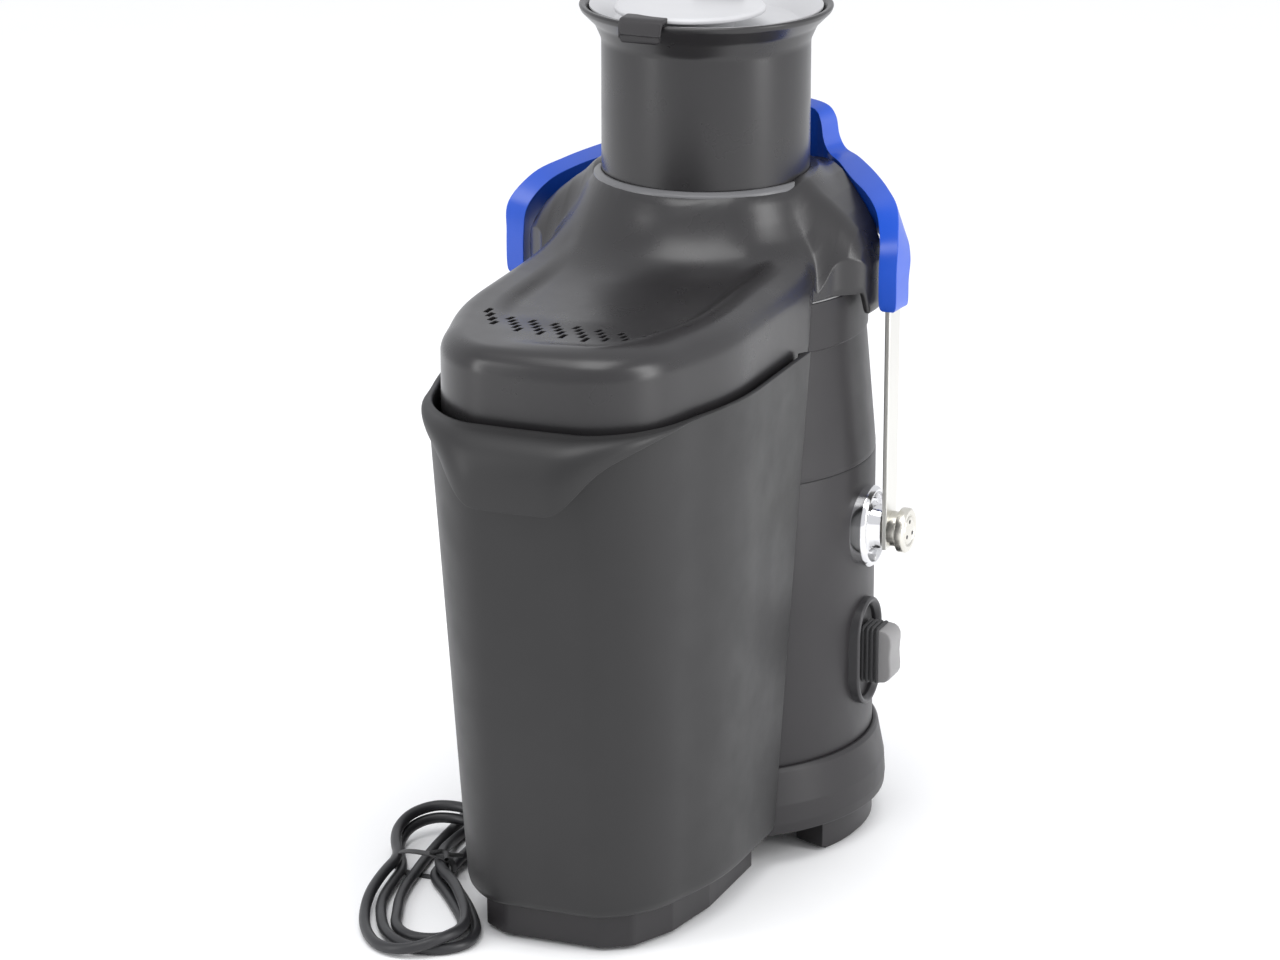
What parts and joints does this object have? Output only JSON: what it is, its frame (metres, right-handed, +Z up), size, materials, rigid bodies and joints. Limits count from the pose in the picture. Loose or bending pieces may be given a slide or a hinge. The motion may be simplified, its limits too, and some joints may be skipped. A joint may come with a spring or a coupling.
{
  "type": "centrifugal juicer",
  "caption": "Upright centrifugal juicer with a wide feed chute, locking bail handle, drip spout and a rear pulp bin that slides off its ledge.",
  "frame": {"origin": "on the surface the juicer stands on, in the middle of its outline without the cord", "axes": "+Z up along the drive axis; the juice spout points along -Y, the pulp bin stands on the +Y side, the power switch is on the -X side"},
  "size_m": [0.2356, 0.345, 0.397],
  "materials": {
    "body_plastic": "fine-grained moulded plastic",
    "lid_plastic": "satin moulded plastic",
    "bin_plastic": "fine-grained moulded plastic",
    "pusher_plastic": "satin grey plastic",
    "collar_plastic": "satin",
    "blue_plastic": "satin blue plastic",
    "satin_steel": "brushed flat bar",
    "nickel": "turned, satin",
    "chrome": "bright",
    "black_rubber": "moulded rubber",
    "seal_silicone": "silicone",
    "switch_plastic": "satin",
    "screw_steel": "plated",
    "lamination_steel": "stacked laminations",
    "copper": "enamelled copper",
    "die_cast": "die cast",
    "bearing_steel": "ground",
    "inner_plastic": "plain nylon",
    "carbon": "carbon",
    "circuit_board": "solder mask",
    "steel_mesh": "stainless",
    "cord_jacket": "flexible PVC jacket"
  },
  "bodies": {
    "base": {"base_skirt": "body_plastic", "base_plate": "body_plastic", "base_legs": "body_plastic", "rubber_feet": "black_rubber", "bin_platform": "body_plastic", "base_screws": "screw_steel", "motor_lower_frame": "die_cast", "lower_bearing": "bearing_steel", "motor_stator": "lamination_steel", "field_windings": "copper", "motor_upper_frame": "die_cast", "upper_bearing": "bearing_steel", "motor_screws": "screw_steel", "motor_mounts": "black_rubber", "mount_screws": "screw_steel", "brush_holders": "inner_plastic", "carbon_brushes": "carbon", "shaft_seal": "black_rubber", "motor_housing": "body_plastic", "speed_control_board": "circuit_board", "terminal_block": "inner_plastic", "interlock_switch": "inner_plastic", "switch_bezel": "switch_plastic", "pivot_brackets": "chrome", "pivot_studs": "nickel", "pivot_caps": "nickel", "bracket_screws": "screw_steel", "juice_bowl": "body_plastic", "bowl_seal": "black_rubber", "cord_gland": "black_rubber", "cord_hank": "cord_jacket", "cord_tie": "cord_jacket", "power_plug": "cord_jacket", "cord_lead": "cord_jacket", "cord_tail": "cord_jacket"},
    "handle": {"handle_bail": "blue_plastic", "handle_arm_left": "satin_steel", "handle_arm_right": "satin_steel"},
    "lid_set": {"lid": "lid_plastic", "feed_chute": "lid_plastic", "chute_collar": "collar_plastic", "lid_seal": "seal_silicone"},
    "large_pusher": {"food_pusher": "pusher_plastic"},
    "inner_pusher": {"small_pusher": "pusher_plastic"},
    "bin": {"pulp_bin": "bin_plastic"},
    "drive": {"motor_shaft": "screw_steel", "motor_rotor": "lamination_steel", "rotor_windings": "copper", "commutator": "copper", "cooling_fan": "inner_plastic", "drive_coupling": "inner_plastic", "basket_hub": "inner_plastic", "filter_basket": "steel_mesh", "cutting_disc": "steel_mesh", "basket_nut": "screw_steel"},
    "rocker": {"rocker_button": "switch_plastic", "switch_boot": "black_rubber"}
  },
  "joints": [
    {"name": "handle_swing", "type": "hinge", "parent": "base", "child": "handle", "pos_m": [0, -0.0575, 0.1496], "axis": [1, 0, 0], "range_deg": [0, 105]},
    {"name": "lid_lift", "type": "slide", "parent": "base", "child": "lid_set", "axis": [0, 0, 1], "range_m": [0, 0.05]},
    {"name": "pusher_slide", "type": "slide", "parent": "lid_set", "child": "large_pusher", "axis": [0, 0, 1], "range_m": [0, 0.15]},
    {"name": "inner_pusher_slide", "type": "slide", "parent": "large_pusher", "child": "inner_pusher", "axis": [0, 0, 1], "range_m": [0, 0.15]},
    {"name": "bin_slide", "type": "slide", "parent": "base", "child": "bin", "axis": [0, 1, 0], "range_m": [0, 0.16]},
    {"name": "drive_spin", "type": "hinge", "parent": "base", "child": "drive", "pos_m": [0, -0.0575, 0.1], "axis": [0, 0, 1], "continuous": true},
    {"name": "switch_rock", "type": "hinge", "parent": "base", "child": "rocker", "pos_m": [-0.082, -0.0575, 0.089], "axis": [0, 1, 0], "range_deg": [-4, 4]}
  ],
  "couplings": [
    {"joint": "lid_lift", "follows": "handle_swing", "m_per_rad": 0.027}
  ]
}
